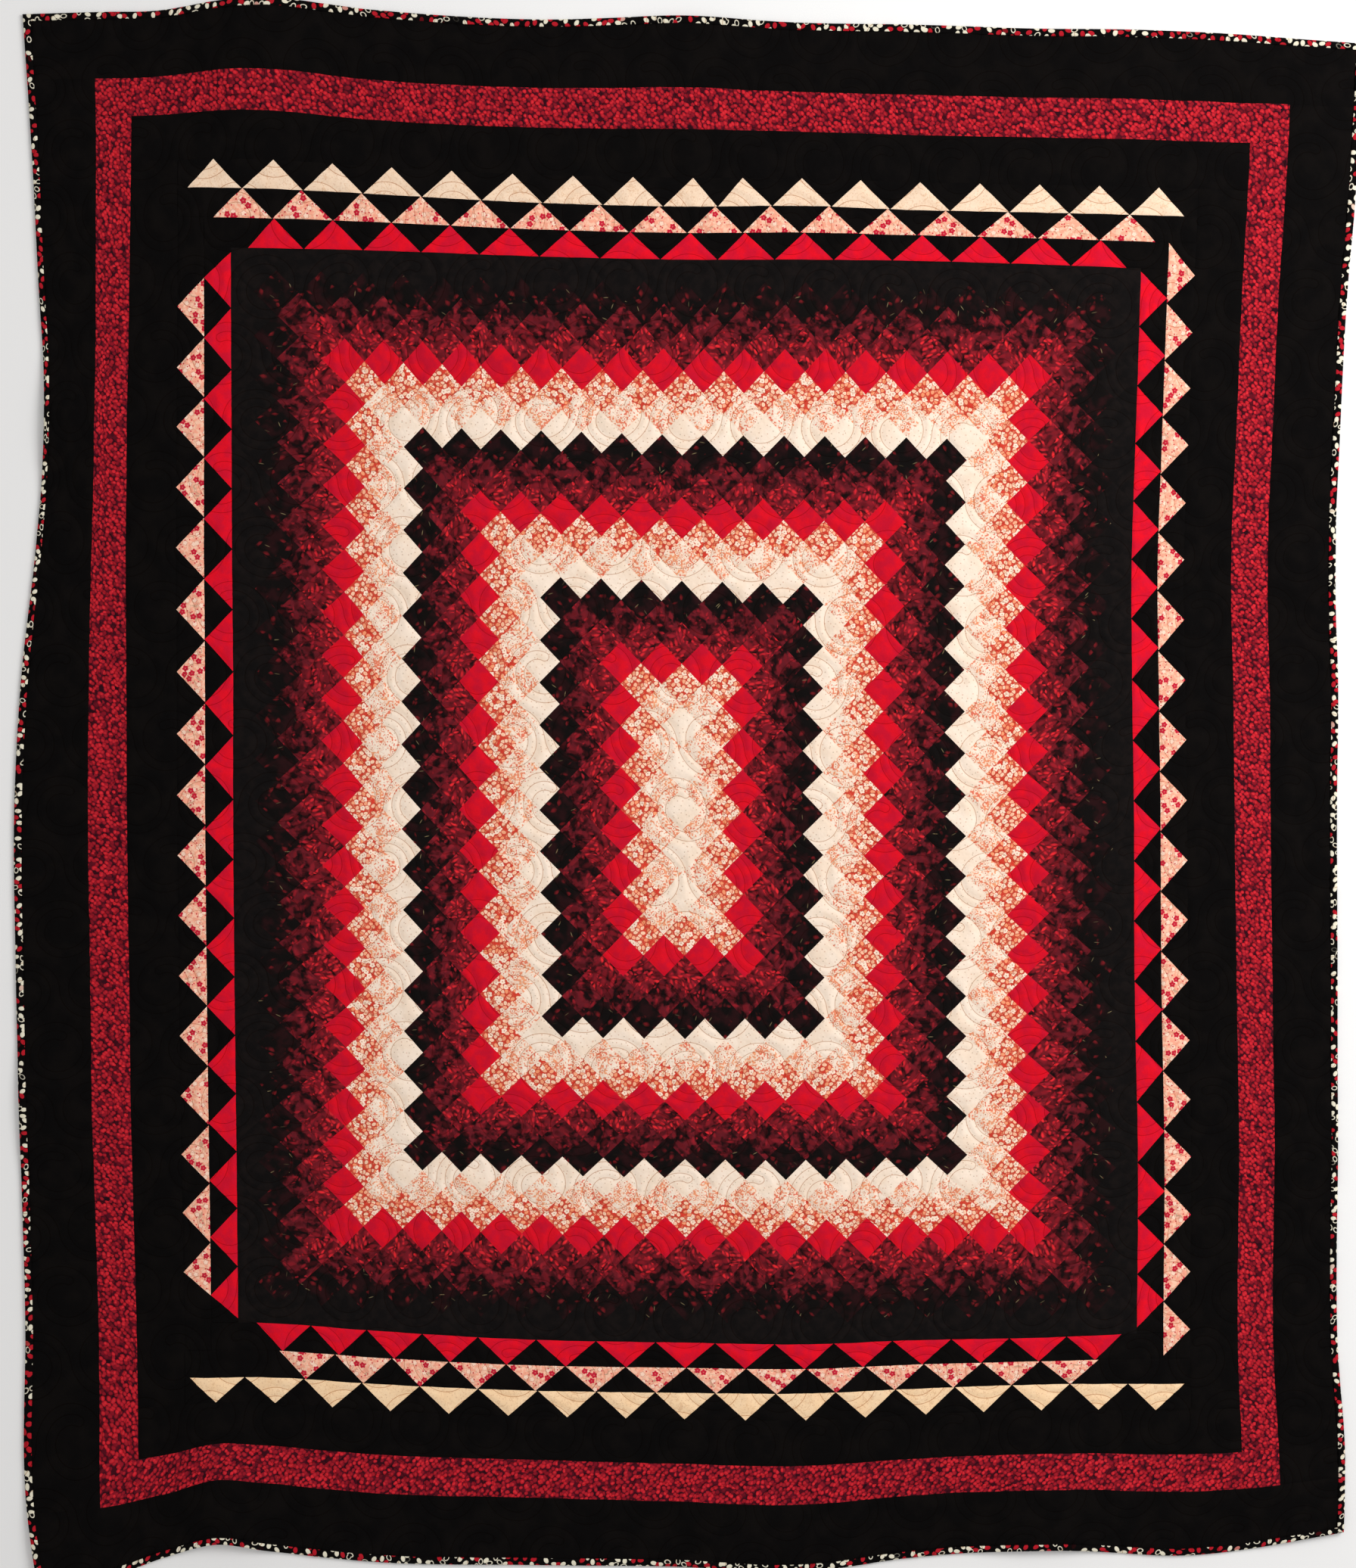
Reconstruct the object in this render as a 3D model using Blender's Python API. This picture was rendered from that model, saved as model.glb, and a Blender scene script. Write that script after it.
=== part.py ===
"""A pieced bed quilt, laid flat and face up.

The centre panel is pieced on point. Strips of flying geese, an inner border, a print border,
an outer border and the binding are sewn around it, sides first and then top and bottom.
Metres, +Z up, +Y towards the quilt's top edge, origin under the middle of its footprint.
"""

import bmesh
import bpy
import numpy as np

# Patchwork squares, 2 inches finished, set on point: the cloth has eased in across and out down
SQUARE = 0.0508
EASE_ACROSS = 0.983
EASE_DOWN = 1.016
SQUARES_ACROSS = 22
SQUARES_DOWN = 26
PITCH_ACROSS = SQUARE * 2**0.5 * EASE_ACROSS
PITCH_DOWN = SQUARE * 2**0.5 * EASE_DOWN

# Cloth, wadding and backing together: pressed down at a seam, lofted between seams
SEAM_THICKNESS = 0.0044
LOFT = 0.0062
LOFT_REACH = 0.012
SEAM_GAP = 0.0003

# Binding, folded over the raw edge: its thickness and the lift of its underside across its width
BINDING_STEPS = (0.0, 0.3, 0.65, 0.88, 1.0)
BINDING_TOP = (0.0052, 0.0068, 0.0066, 0.0054, 0.0040)
BINDING_UNDERSIDE = (0.0, 0.0, 0.0, 0.0005, 0.0016)

BLACK = (0.006, 0.005, 0.005)
RED = (0.62, 0.012, 0.018)
PINK = (0.88, 0.50, 0.38)
CREAM = (0.93, 0.80, 0.60)
PRINT_RED = (0.34, 0.015, 0.025)
PANEL_RED = (0.42, 0.10, 0.09)

# Each round: name, width at the sides, width at top and bottom, colour
ROUNDS = (
    ("red_geese", 0.0490, 0.0465, RED),
    ("pink_geese", 0.0490, 0.0460, PINK),
    ("cream_geese", 0.0, 0.0460, CREAM),
    ("inner_border", 0.0880, 0.0775, BLACK),
    ("print_border", 0.0660, 0.0665, PRINT_RED),
    ("outer_border", 0.1090, 0.1050, BLACK),
    ("binding", 0.0127, 0.0127, BLACK),
)

# Sway of the seams in mm: how far each level has crept up at these places across the quilt
PLACES_ACROSS = (-1150, -1016, -917, -812, -726, -548, -265, 0, 210, 394, 631, 869, 1150)
CREEP_UP = (
    ("bottom edge", -1349, (-3, 5, 37, 63, 49, 30, 24, 21, 13, 37, 51, 41, 82)),
    ("print border", -1199, (-3, 11, 28, 57, 49, 33, 24, 16, 12, 25, 36, 33, 55)),
    ("cream geese", -1042, (43, 43, 43, 43, 43, 32, 20, 16, 15, 23, 31, 32, 37)),
    ("panel bottom", -949, (47, 47, 47, 47, 45, 32, 16, 11, 8, 15, 20, 31, 35)),
    ("lower red ring", -750, (41, 41, 41, 41, 41, 30, 18, 12, 7, 14, 24, 36, 36)),
    ("lower inner ring", -490, (24, 24, 24, 24, 24, 12, -2, -8, -6, -2, 6, 19, 19)),
    ("panel middle", 0, (8, 8, 8, 8, 4, -7, -11, -10, -17, -22, -17, 2, 2)),
    ("upper inner ring", 490, (12, 12, 12, 12, 11, 4, -4, -14, -18, -21, -25, -20, -20)),
    ("upper red ring", 740, (13, 13, 13, 12, 8, 1, -8, -15, -16, -19, -26, -24, -24)),
    ("panel top", 949, (19, 19, 19, 19, 18, 14, 4, -2, -2, -4, -11, -21, -27)),
    ("cream geese", 1042, (31, 31, 31, 31, 29, 20, 5, -2, -1, -8, -13, -20, -32)),
    ("print border", 1199, (29, 31, 34, 43, 44, 27, 14, 12, 6, 1, -4, -10, -21)),
    ("top edge", 1349, (25, 29, 31, 46, 52, 33, 16, 21, 10, 7, -1, -6, -27)),
)

# The same for each upright seam: how far it has crept to the right at these places down the quilt
PLACES_DOWN = (-1349, -1184, -973, -656, -300, 0, 214, 424, 662, 899, 1136, 1349)
CREEP_RIGHT = (
    ("left edge", -1150, (28, 7, 8, 0, -9, -11, 1, 25, 42, 30, 17, 3)),
    ("print border", -996, (22, 20, 16, 7, 1, -3, -4, -5, -1, 3, 7, 7)),
    ("left geese", -777, (7, 7, 5, 2, -2, -4, -4, -6, -7, -8, -8, -8)),
    ("left red ring", -600, (8, 8, 9, 14, 17, 12, 12, 14, 16, 12, 8, 8)),
    ("left inner ring", -350, (4, 4, 4, 3, 2, -1, -1, 2, 3, 3, 3, 3)),
    ("panel middle", 0, (9, 9, 9, 6, 5, 0, 0, 0, 1, 5, 7, 7)),
    ("right inner ring", 350, (6, 6, 6, 3, 0, -2, -2, 0, 2, 3, 3, 3)),
    ("right red ring", 600, (9, 9, 8, 3, 1, 2, -2, -3, 3, 7, 9, 9)),
    ("right geese", 777, (13, 13, 15, 17, 11, 10, 7, 6, 13, 21, 27, 27)),
    ("print border", 996, (12, 12, 3, 5, 1, -3, -5, -10, 0, 10, 24, 30)),
    ("right edge", 1150, (1, 4, -9, -9, -9, -10, -8, -14, -5, 7, 26, 36)),
)

# Soft ripples in the borders, where the edge is fuller than the panel: place of the crest,
# its heading in degrees, its half length and half width, and its height, in mm
RIPPLES = (
    ("top, left of centre", -745, 1290, 90, 300, 125, 11),
    ("top, centre", 5, 1310, 84, 230, 130, 7),
    ("top, right", 720, 1300, 97, 240, 140, 6),
    ("top right corner", 1065, 1235, 45, 230, 110, 7),
    ("right, upper", 1080, 430, 3, 210, 130, 8),
    ("right, lower", 1075, -610, -4, 200, 150, 5),
    ("bottom right corner", 1040, -1270, -38, 240, 110, 8),
    ("bottom, right", 610, -1285, -88, 270, 150, 10),
    ("bottom, centre", 90, -1290, -96, 230, 140, 6),
    ("bottom, left", -815, -1270, -84, 320, 120, 15),
    ("bottom left corner", -1075, -1245, -132, 250, 105, 9),
    ("left, lower", -1075, -560, 176, 210, 150, 6),
    ("left, upper", -1085, 655, 183, 230, 140, 10),
)
STILL_EDGE = 30

STATION = 0.075


def widths_out(sides):
    """Half sizes of the quilt after each round, from the centre panel outwards."""
    start = SQUARES_ACROSS * PITCH_ACROSS / 2 if sides else SQUARES_DOWN * PITCH_DOWN / 2
    steps = [row[1] if sides else row[2] for row in ROUNDS]
    return start + np.cumsum([0.0] + steps)


HALF_WIDTHS = widths_out(True)
HALF_HEIGHTS = widths_out(False)


def curve_through(places, values, at):
    """A cubic through the values, each slope taken from the neighbours on both sides."""
    places = np.array(places) / 1000
    values = np.array(values) / 1000
    slopes = np.gradient(values, places)
    i = np.clip(np.searchsorted(places, at) - 1, 0, len(places) - 2)
    span = places[i + 1] - places[i]
    t = (at - places[i]) / span
    rise = values[i] * (2 * t**3 - 3 * t**2 + 1) + values[i + 1] * (3 * t**2 - 2 * t**3)
    return rise + span * (slopes[i] * (t**3 - 2 * t**2 + t) + slopes[i + 1] * (t**3 - t**2))


def creep(table, places, along, across):
    """The sway at each point: a curve along the nearest seam on each side, shared between them."""
    levels = np.array([row[1] for row in table]) / 1000
    curves = np.array([curve_through(places, row[2], along) for row in table])
    i = np.clip(np.searchsorted(levels, across) - 1, 0, len(levels) - 2)
    t = (across - levels[i]) / (levels[i + 1] - levels[i])
    points = np.arange(len(along))
    return curves[i, points] * (1 - t) + curves[i + 1, points] * t


def swayed(p, q):
    """Where a point of the sewn pattern lies on the surface."""
    x = p + creep(CREEP_RIGHT, PLACES_DOWN, q, p)
    y = q + creep(CREEP_UP, PLACES_ACROSS, p, q)
    return x, y


def pattern_lines(halves):
    """Seam positions along one axis, with more lines between them where seams are far apart."""
    seams = np.unique(np.round(np.concatenate([-halves, halves]), 6))
    lines = [seams[:1]]
    for start, end in zip(seams[:-1], seams[1:]):
        count = int(np.ceil((end - start) / STATION))
        lines.append(np.linspace(start, end, count + 1)[1:])
    return np.concatenate(lines)


LINES_ACROSS = pattern_lines(HALF_WIDTHS)
LINES_DOWN = pattern_lines(HALF_HEIGHTS)


def lattice():
    """The swayed places of every crossing of the pattern lines, centred on their footprint."""
    p, q = np.meshgrid(LINES_ACROSS, LINES_DOWN, indexing="ij")
    x, y = swayed(p.ravel(), q.ravel())
    x -= (x.max() + x.min()) / 2
    y -= (y.max() + y.min()) / 2
    return np.stack([x, y], axis=-1).reshape(*p.shape, 2)


LATTICE = lattice()


def laid(p, q):
    """A point of the pattern, set straight between the four crossings around it."""
    i = np.clip(np.searchsorted(LINES_ACROSS, p) - 1, 0, len(LINES_ACROSS) - 2)
    j = np.clip(np.searchsorted(LINES_DOWN, q) - 1, 0, len(LINES_DOWN) - 2)
    s = ((p - LINES_ACROSS[i]) / (LINES_ACROSS[i + 1] - LINES_ACROSS[i]))[:, None]
    t = ((q - LINES_DOWN[j]) / (LINES_DOWN[j + 1] - LINES_DOWN[j]))[:, None]
    low = LATTICE[i, j] * (1 - s) + LATTICE[i + 1, j] * s
    high = LATTICE[i, j + 1] * (1 - s) + LATTICE[i + 1, j + 1] * s
    return low * (1 - t) + high * t


def ripple_height(p, q):
    """How far the cloth lifts off the surface: rounded crests that die out towards the panel."""
    height = np.zeros(len(p))
    for _, crest_p, crest_q, heading, length, width, rise in RIPPLES:
        turn = np.radians(heading)
        away_p = p - crest_p / 1000
        away_q = q - crest_q / 1000
        along = (away_p * np.cos(turn) + away_q * np.sin(turn)) / (length / 1000)
        aside = (away_q * np.cos(turn) - away_p * np.sin(turn)) / (width / 1000)
        height += rise / 1000 * np.clip(1 - along**2 - aside**2, 0, None) ** 2
    clear = np.maximum(np.abs(p) - HALF_WIDTHS[0], np.abs(q) - HALF_HEIGHTS[0])
    return height * np.clip(clear / (STILL_EDGE / 1000), 0, 1)


def with_loft_lines(start, end, lines):
    """The pattern lines inside a piece, its two seams, and a line where its loft begins."""
    inner = lines[(lines > start + LOFT_REACH * 1.5) & (lines < end - LOFT_REACH * 1.5)]
    half_gap = SEAM_GAP / 2
    first = [start + half_gap, start + LOFT_REACH]
    last = [end - LOFT_REACH, end - half_gap]
    return np.concatenate([first, inner, last])


def cloth_material(name, colour):
    material = bpy.data.materials.new(name)
    material.use_nodes = True
    shader = material.node_tree.nodes["Principled BSDF"]
    shader.inputs["Base Color"].default_value = (*colour, 1.0)
    shader.inputs["Roughness"].default_value = 0.9
    shader.inputs["Metallic"].default_value = 0.0
    material.diffuse_color = (*colour, 1.0)
    return material


def thick_cloth(name, p, q, top, underside, colour, collection):
    """A closed solid from a grid of pattern points: one sheet for its face, drawn down to its back."""
    rows, columns = p.shape
    mesh = bmesh.new()
    bmesh.ops.create_grid(mesh, x_segments=rows - 1, y_segments=columns - 1, size=1)
    place = laid(p.ravel(), q.ravel()).reshape(rows, columns, 2)
    index = {}
    for vert in mesh.verts:
        i = round((vert.co.x + 1) / 2 * (rows - 1))
        j = round((vert.co.y + 1) / 2 * (columns - 1))
        index[vert] = (i, j)
        vert.co = (place[i, j, 0], place[i, j, 1], top[i, j])
    back = bmesh.ops.extrude_face_region(mesh, geom=mesh.faces[:])["geom"]
    spots = {tuple(vert.co): spot for vert, spot in index.items()}
    for vert in [item for item in back if isinstance(item, bmesh.types.BMVert)]:
        vert.co.z = underside[spots[tuple(vert.co)]]
    bmesh.ops.recalc_face_normals(mesh, faces=mesh.faces[:])
    data = bpy.data.meshes.new(name)
    mesh.to_mesh(data)
    mesh.free()
    data.materials.append(cloth_material(name, colour))
    data.shade_smooth()
    data.set_sharp_from_angle(angle=np.radians(40))
    piece = bpy.data.objects.new(name, data)
    collection.objects.link(piece)
    return piece


def panel(name, left, right, bottom, top, colour, collection):
    """A rectangular piece of the quilt, thin at its seams and lofted inside them."""
    across = with_loft_lines(left, right, LINES_ACROSS)
    down = with_loft_lines(bottom, top, LINES_DOWN)
    p, q = np.meshgrid(across, down, indexing="ij")
    seam = np.ones(p.shape, bool)
    seam[1:-1, 1:-1] = False
    thickness = np.where(seam, SEAM_THICKNESS, LOFT)
    lift = ripple_height(p.ravel(), q.ravel()).reshape(p.shape)
    return thick_cloth(name, p, q, lift + thickness, lift, colour, collection)


def binding(name, side, sign, colour, collection):
    """One edge's length of binding, mitred where it meets the next at the corners."""
    seam = (HALF_WIDTHS if side else HALF_HEIGHTS)[-2]
    width = ROUNDS[-1][1]
    seam_end = (HALF_HEIGHTS if side else HALF_WIDTHS)[-2]
    lines = LINES_DOWN if side else LINES_ACROSS
    inner = lines[np.abs(lines) < seam_end - LOFT_REACH]
    steps = np.array(BINDING_STEPS)
    out, along = np.meshgrid(steps, np.concatenate([[-seam_end], inner, [seam_end]]), indexing="ij")
    mitre = seam_end + out * width - SEAM_GAP * 0.75
    along[:, 0] = -mitre[:, 0]
    along[:, -1] = mitre[:, -1]
    distance = sign * np.maximum(seam + out * width, seam + SEAM_GAP / 2)
    p, q = (distance, along) if side else (along, distance)
    lift = ripple_height(p.ravel(), q.ravel()).reshape(p.shape)
    top = lift + np.interp(out, steps, BINDING_TOP)
    underside = lift + np.interp(out, steps, BINDING_UNDERSIDE)
    return thick_cloth(name, p, q, top, underside, colour, collection)


def quilt():
    collection = bpy.data.collections.new("quilt")
    bpy.context.scene.collection.children.link(collection)
    half_p = HALF_WIDTHS[0]
    half_q = HALF_HEIGHTS[0]
    panel("centre_panel", -half_p, half_p, -half_q, half_q, PANEL_RED, collection)
    for name, side, end, colour in ROUNDS[:-1]:
        if side:
            panel(f"{name}_left", -half_p - side, -half_p, -half_q, half_q, colour, collection)
            panel(f"{name}_right", half_p, half_p + side, -half_q, half_q, colour, collection)
        half_p += side
        panel(f"{name}_bottom", -half_p, half_p, -half_q - end, -half_q, colour, collection)
        panel(f"{name}_top", -half_p, half_p, half_q, half_q + end, colour, collection)
        half_q += end
    for place, side, sign in (("left", 1, -1), ("right", 1, 1), ("bottom", 0, -1), ("top", 0, 1)):
        binding(f"binding_{place}", side, sign, ROUNDS[-1][3], collection)


for item in list(bpy.data.objects):
    bpy.data.objects.remove(item)
quilt()
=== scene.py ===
"""A pieced bed quilt, laid face up on a pale floor: its looks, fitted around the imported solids.

Metres, +Z up, +Y towards the quilt's top edge. Each seam is worked out in the sewn pattern, p
across and q up from its middle, and then laid down where the cloth has crept to.
"""

import bmesh
import bpy
import numpy as np
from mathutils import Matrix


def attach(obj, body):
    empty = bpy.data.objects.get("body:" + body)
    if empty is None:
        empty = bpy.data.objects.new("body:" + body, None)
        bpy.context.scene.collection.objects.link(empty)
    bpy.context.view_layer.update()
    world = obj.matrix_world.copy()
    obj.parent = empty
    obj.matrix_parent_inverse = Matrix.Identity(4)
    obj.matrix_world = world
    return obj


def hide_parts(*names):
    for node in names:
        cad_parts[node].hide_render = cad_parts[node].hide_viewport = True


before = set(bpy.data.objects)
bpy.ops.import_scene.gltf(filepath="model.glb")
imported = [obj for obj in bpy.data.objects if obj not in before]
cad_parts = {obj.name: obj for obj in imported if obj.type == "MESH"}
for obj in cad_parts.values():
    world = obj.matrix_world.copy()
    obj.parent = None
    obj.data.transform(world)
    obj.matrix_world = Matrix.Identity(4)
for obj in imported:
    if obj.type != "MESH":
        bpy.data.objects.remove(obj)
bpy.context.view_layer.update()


# Centre panel: 2 inch squares of printed cotton, set on point and sewn in rounds about a middle
# row of five, shaded from cream through red to black three times over. It is sewn as three
# sections, laid over wadding and backing, and quilted through all three layers.
# Rings are counted out from the middle row, and are all black from FIRST_BLACK_ROUND on
SQUARE = 0.0508
EASE_ACROSS = 0.983
EASE_DOWN = 1.016
SQUARES_ACROSS = 22
SQUARES_DOWN = 26
PITCH_ACROSS = SQUARE * 2**0.5 * EASE_ACROSS
PITCH_DOWN = SQUARE * 2**0.5 * EASE_DOWN
SQUARES_EDGE = 14
SECTION_SEAM = 4.25
MIDDLE_REACH = 2
FIRST_BLACK_ROUND = 21
FABRICS_PER_TRIP = 7
CUTS_A_ROW = 61

# Widths of what is sewn around the panel, at its sides and at its top and bottom
ROUNDS = (
    ("red_geese", 0.0490, 0.0465),
    ("pink_geese", 0.0490, 0.0460),
    ("cream_geese", 0.0, 0.0460),
    ("inner_border", 0.0880, 0.0775),
    ("print_border", 0.0660, 0.0665),
    ("outer_border", 0.1090, 0.1050),
    ("binding", 0.0127, 0.0127),
)
OUTWARD = {"left": -1, "right": 1, "bottom": -1, "top": 1}
UPRIGHT = ("left", "right")
SIDE_SEAMS = SQUARES_ACROSS * PITCH_ACROSS / 2 + np.cumsum([0.0] + [row[1] for row in ROUNDS])
END_SEAMS = SQUARES_DOWN * PITCH_DOWN / 2 + np.cumsum([0.0] + [row[2] for row in ROUNDS])

# Sway of the seams in mm, as in the solids: how far each level has crept up across the quilt
PLACES_ACROSS = (-1150, -1016, -917, -812, -726, -548, -265, 0, 210, 394, 631, 869, 1150)
CREEP_UP = (
    ("bottom edge", -1349, (-3, 5, 37, 63, 49, 30, 24, 21, 13, 37, 51, 41, 82)),
    ("print border", -1199, (-3, 11, 28, 57, 49, 33, 24, 16, 12, 25, 36, 33, 55)),
    ("cream geese", -1042, (43, 43, 43, 43, 43, 32, 20, 16, 15, 23, 31, 32, 37)),
    ("panel bottom", -949, (47, 47, 47, 47, 45, 32, 16, 11, 8, 15, 20, 31, 35)),
    ("lower red ring", -750, (41, 41, 41, 41, 41, 30, 18, 12, 7, 14, 24, 36, 36)),
    ("lower inner ring", -490, (24, 24, 24, 24, 24, 12, -2, -8, -6, -2, 6, 19, 19)),
    ("panel middle", 0, (8, 8, 8, 8, 4, -7, -11, -10, -17, -22, -17, 2, 2)),
    ("upper inner ring", 490, (12, 12, 12, 12, 11, 4, -4, -14, -18, -21, -25, -20, -20)),
    ("upper red ring", 740, (13, 13, 13, 12, 8, 1, -8, -15, -16, -19, -26, -24, -24)),
    ("panel top", 949, (19, 19, 19, 19, 18, 14, 4, -2, -2, -4, -11, -21, -27)),
    ("cream geese", 1042, (31, 31, 31, 31, 29, 20, 5, -2, -1, -8, -13, -20, -32)),
    ("print border", 1199, (29, 31, 34, 43, 44, 27, 14, 12, 6, 1, -4, -10, -21)),
    ("top edge", 1349, (25, 29, 31, 46, 52, 33, 16, 21, 10, 7, -1, -6, -27)),
)

# The same for each upright seam: how far it has crept to the right at these places up the quilt
PLACES_DOWN = (-1349, -1184, -973, -656, -300, 0, 214, 424, 662, 899, 1136, 1349)
CREEP_RIGHT = (
    ("left edge", -1150, (28, 7, 8, 0, -9, -11, 1, 25, 42, 30, 17, 3)),
    ("print border", -996, (22, 20, 16, 7, 1, -3, -4, -5, -1, 3, 7, 7)),
    ("left geese", -777, (7, 7, 5, 2, -2, -4, -4, -6, -7, -8, -8, -8)),
    ("left red ring", -600, (8, 8, 9, 14, 17, 12, 12, 14, 16, 12, 8, 8)),
    ("left inner ring", -350, (4, 4, 4, 3, 2, -1, -1, 2, 3, 3, 3, 3)),
    ("panel middle", 0, (9, 9, 9, 6, 5, 0, 0, 0, 1, 5, 7, 7)),
    ("right inner ring", 350, (6, 6, 6, 3, 0, -2, -2, 0, 2, 3, 3, 3)),
    ("right red ring", 600, (9, 9, 8, 3, 1, 2, -2, -3, 3, 7, 9, 9)),
    ("right geese", 777, (13, 13, 15, 17, 11, 10, 7, 6, 13, 21, 27, 27)),
    ("print border", 996, (12, 12, 3, 5, 1, -3, -5, -10, 0, 10, 24, 30)),
    ("right edge", 1150, (1, 4, -9, -9, -9, -10, -8, -14, -5, 7, 26, 36)),
)
FOOTPRINT_MIDDLE = (0.0119, 0.0243)

# Soft ripples in the borders, as in the solids: place of the crest, its heading in degrees,
# its half length and half width, and its height, in mm
RIPPLES = (
    ("top, left of centre", -745, 1290, 90, 300, 125, 11),
    ("top, centre", 5, 1310, 84, 230, 130, 7),
    ("top, right", 720, 1300, 97, 240, 140, 6),
    ("top right corner", 1065, 1235, 45, 230, 110, 7),
    ("right, upper", 1080, 430, 3, 210, 130, 8),
    ("right, lower", 1075, -610, -4, 200, 150, 5),
    ("bottom right corner", 1040, -1270, -38, 240, 110, 8),
    ("bottom, right", 610, -1285, -88, 270, 150, 10),
    ("bottom, centre", 90, -1290, -96, 230, 140, 6),
    ("bottom, left", -815, -1270, -84, 320, 120, 15),
    ("bottom left corner", -1075, -1245, -132, 250, 105, 9),
    ("left, lower", -1075, -560, 176, 210, 150, 6),
    ("left, upper", -1085, 655, 183, 230, 140, 10),
)
STILL_EDGE = 0.030

# Thickness of the quilt: pressed at the stitches, puffed between them, and a ditch at each seam
PRESSED = 0.0036
PUFF = 0.0030
PUFF_REACH = 0.0085
DITCH = 0.0010
DITCH_REACH = 0.0024
PUFF_FULLNESS = 1.3
RUMPLE = 0.0005
RUMPLE_SIZE = 0.022
RUMPLE_SEED = 3
SWELL = 0.0005
SWELL_SIZE = 0.110
SWELL_SEED = 4
UNEVEN_REACH = 1.6

# Quilting: rows of swirls, one line of stitches that runs in to each eye and out between its turns
SWIRL = 0.060
SWIRL_TURNS = 1.3
SWIRL_EYE = 0.34
WAY_IN = 5.5
WAY_OUT = 4.2
ROW_STEP = 0.112
STITCH_STEP = 0.0025
STITCH_NET = 0.0015
HAND_WOBBLE = 0.013
HAND_WAVES = ((0.19, 1.7, 0.47), (0.23, -1.3, 0.41))


def curve_through(places, values, at):
    """A cubic through the values, each slope taken from the neighbours on both sides, in metres."""
    places = np.array(places) / 1000
    values = np.array(values) / 1000
    slopes = np.gradient(values, places)
    i = np.clip(np.searchsorted(places, at) - 1, 0, len(places) - 2)
    span = places[i + 1] - places[i]
    t = (at - places[i]) / span
    rise = values[i] * (2 * t**3 - 3 * t**2 + 1) + values[i + 1] * (3 * t**2 - 2 * t**3)
    return rise + span * (slopes[i] * (t**3 - 2 * t**2 + t) + slopes[i + 1] * (t**3 - t**2))


def creep(table, places, along, across):
    """The sway at each point: a curve along the nearest seam on each side, shared between them."""
    levels = np.array([row[1] for row in table]) / 1000
    curves = np.array([curve_through(places, row[2], along) for row in table])
    i = np.clip(np.searchsorted(levels, across) - 1, 0, len(levels) - 2)
    t = (across - levels[i]) / (levels[i + 1] - levels[i])
    points = np.arange(len(along))
    return curves[i, points] * (1 - t) + curves[i + 1, points] * t


def laid(p, q):
    """Where points of the sewn pattern lie on the floor: each moved by the creep across and up."""
    x = p + creep(CREEP_RIGHT, PLACES_DOWN, q, p) - FOOTPRINT_MIDDLE[0]
    y = q + creep(CREEP_UP, PLACES_ACROSS, p, q) - FOOTPRINT_MIDDLE[1]
    return x, y


def lifted(p, q):
    """Height of the underside: the sum over the ripples of height * (1 - along^2 - aside^2)^2."""
    height = np.zeros(len(p))
    for _, crest_p, crest_q, heading, length, width, rise in RIPPLES:
        turn = np.radians(heading)
        away_p = p - crest_p / 1000
        away_q = q - crest_q / 1000
        along = (away_p * np.cos(turn) + away_q * np.sin(turn)) / (length / 1000)
        aside = (away_q * np.cos(turn) - away_p * np.sin(turn)) / (width / 1000)
        height += rise / 1000 * np.clip(1 - along**2 - aside**2, 0, None) ** 2
    clear = np.maximum(np.abs(p) - SIDE_SEAMS[0], np.abs(q) - END_SEAMS[0])
    return height * np.clip(clear / STILL_EDGE, 0, 1)


def uneven(p, q, size, seed):
    """Soft random heights from -1 to 1: numbers on a square net, eased from one to the next."""
    count = int(2 * UNEVEN_REACH / size) + 3
    net = np.random.default_rng(seed).uniform(-1, 1, (count, count))
    i, s = np.divmod((p + UNEVEN_REACH) / size, 1)
    j, t = np.divmod((q + UNEVEN_REACH) / size, 1)
    i, j = i.astype(int), j.astype(int)
    s = s * s * (3 - 2 * s)
    t = t * t * (3 - 2 * t)
    low = net[i, j] * (1 - s) + net[i + 1, j] * s
    high = net[i, j + 1] * (1 - s) + net[i + 1, j + 1] * s
    return low * (1 - t) + high * t


def swirl_line():
    """One swirl about 0 as complex numbers: a spiral in, a half circle round its eye, and out.

    The angle falls from pi by SWIRL_TURNS turns while the radius shrinks evenly to the eye. The
    way out keeps half way between the turns, and leaves where the next swirl begins.
    """
    gap = SWIRL * (1 - SWIRL_EYE) / SWIRL_TURNS / 2
    inward = np.linspace(0, 1, int(WAY_IN * SWIRL / STITCH_STEP))
    outward = np.linspace(1, 0.5 / SWIRL_TURNS, int(WAY_OUT * SWIRL / STITCH_STEP))
    hook = np.linspace(0, np.pi, int(np.pi * gap / 2 / STITCH_STEP) + 2)[1:-1]
    eye = SWIRL * SWIRL_EYE
    part = np.concatenate([inward, np.ones(len(hook)), outward])
    radius = SWIRL * (1 - (1 - SWIRL_EYE) * part)
    turn = np.concatenate([0 * inward, hook, 0 * outward + np.pi])
    radius = radius + gap / 2 * (1 - np.cos(turn))
    angle = np.pi - 2 * np.pi * SWIRL_TURNS * part - np.sin(turn) * gap / 2 / (eye + gap / 2)
    return radius * np.exp(1j * angle)


def wrapped(offset):
    """An offset between two points of the repeating quilting, taken to its nearest repeat."""
    across = offset.real - 2 * SWIRL * np.round(offset.real / (2 * SWIRL))
    down = offset.imag - 2 * ROW_STEP * np.round(offset.imag / (2 * ROW_STEP))
    return across + 1j * down


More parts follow.
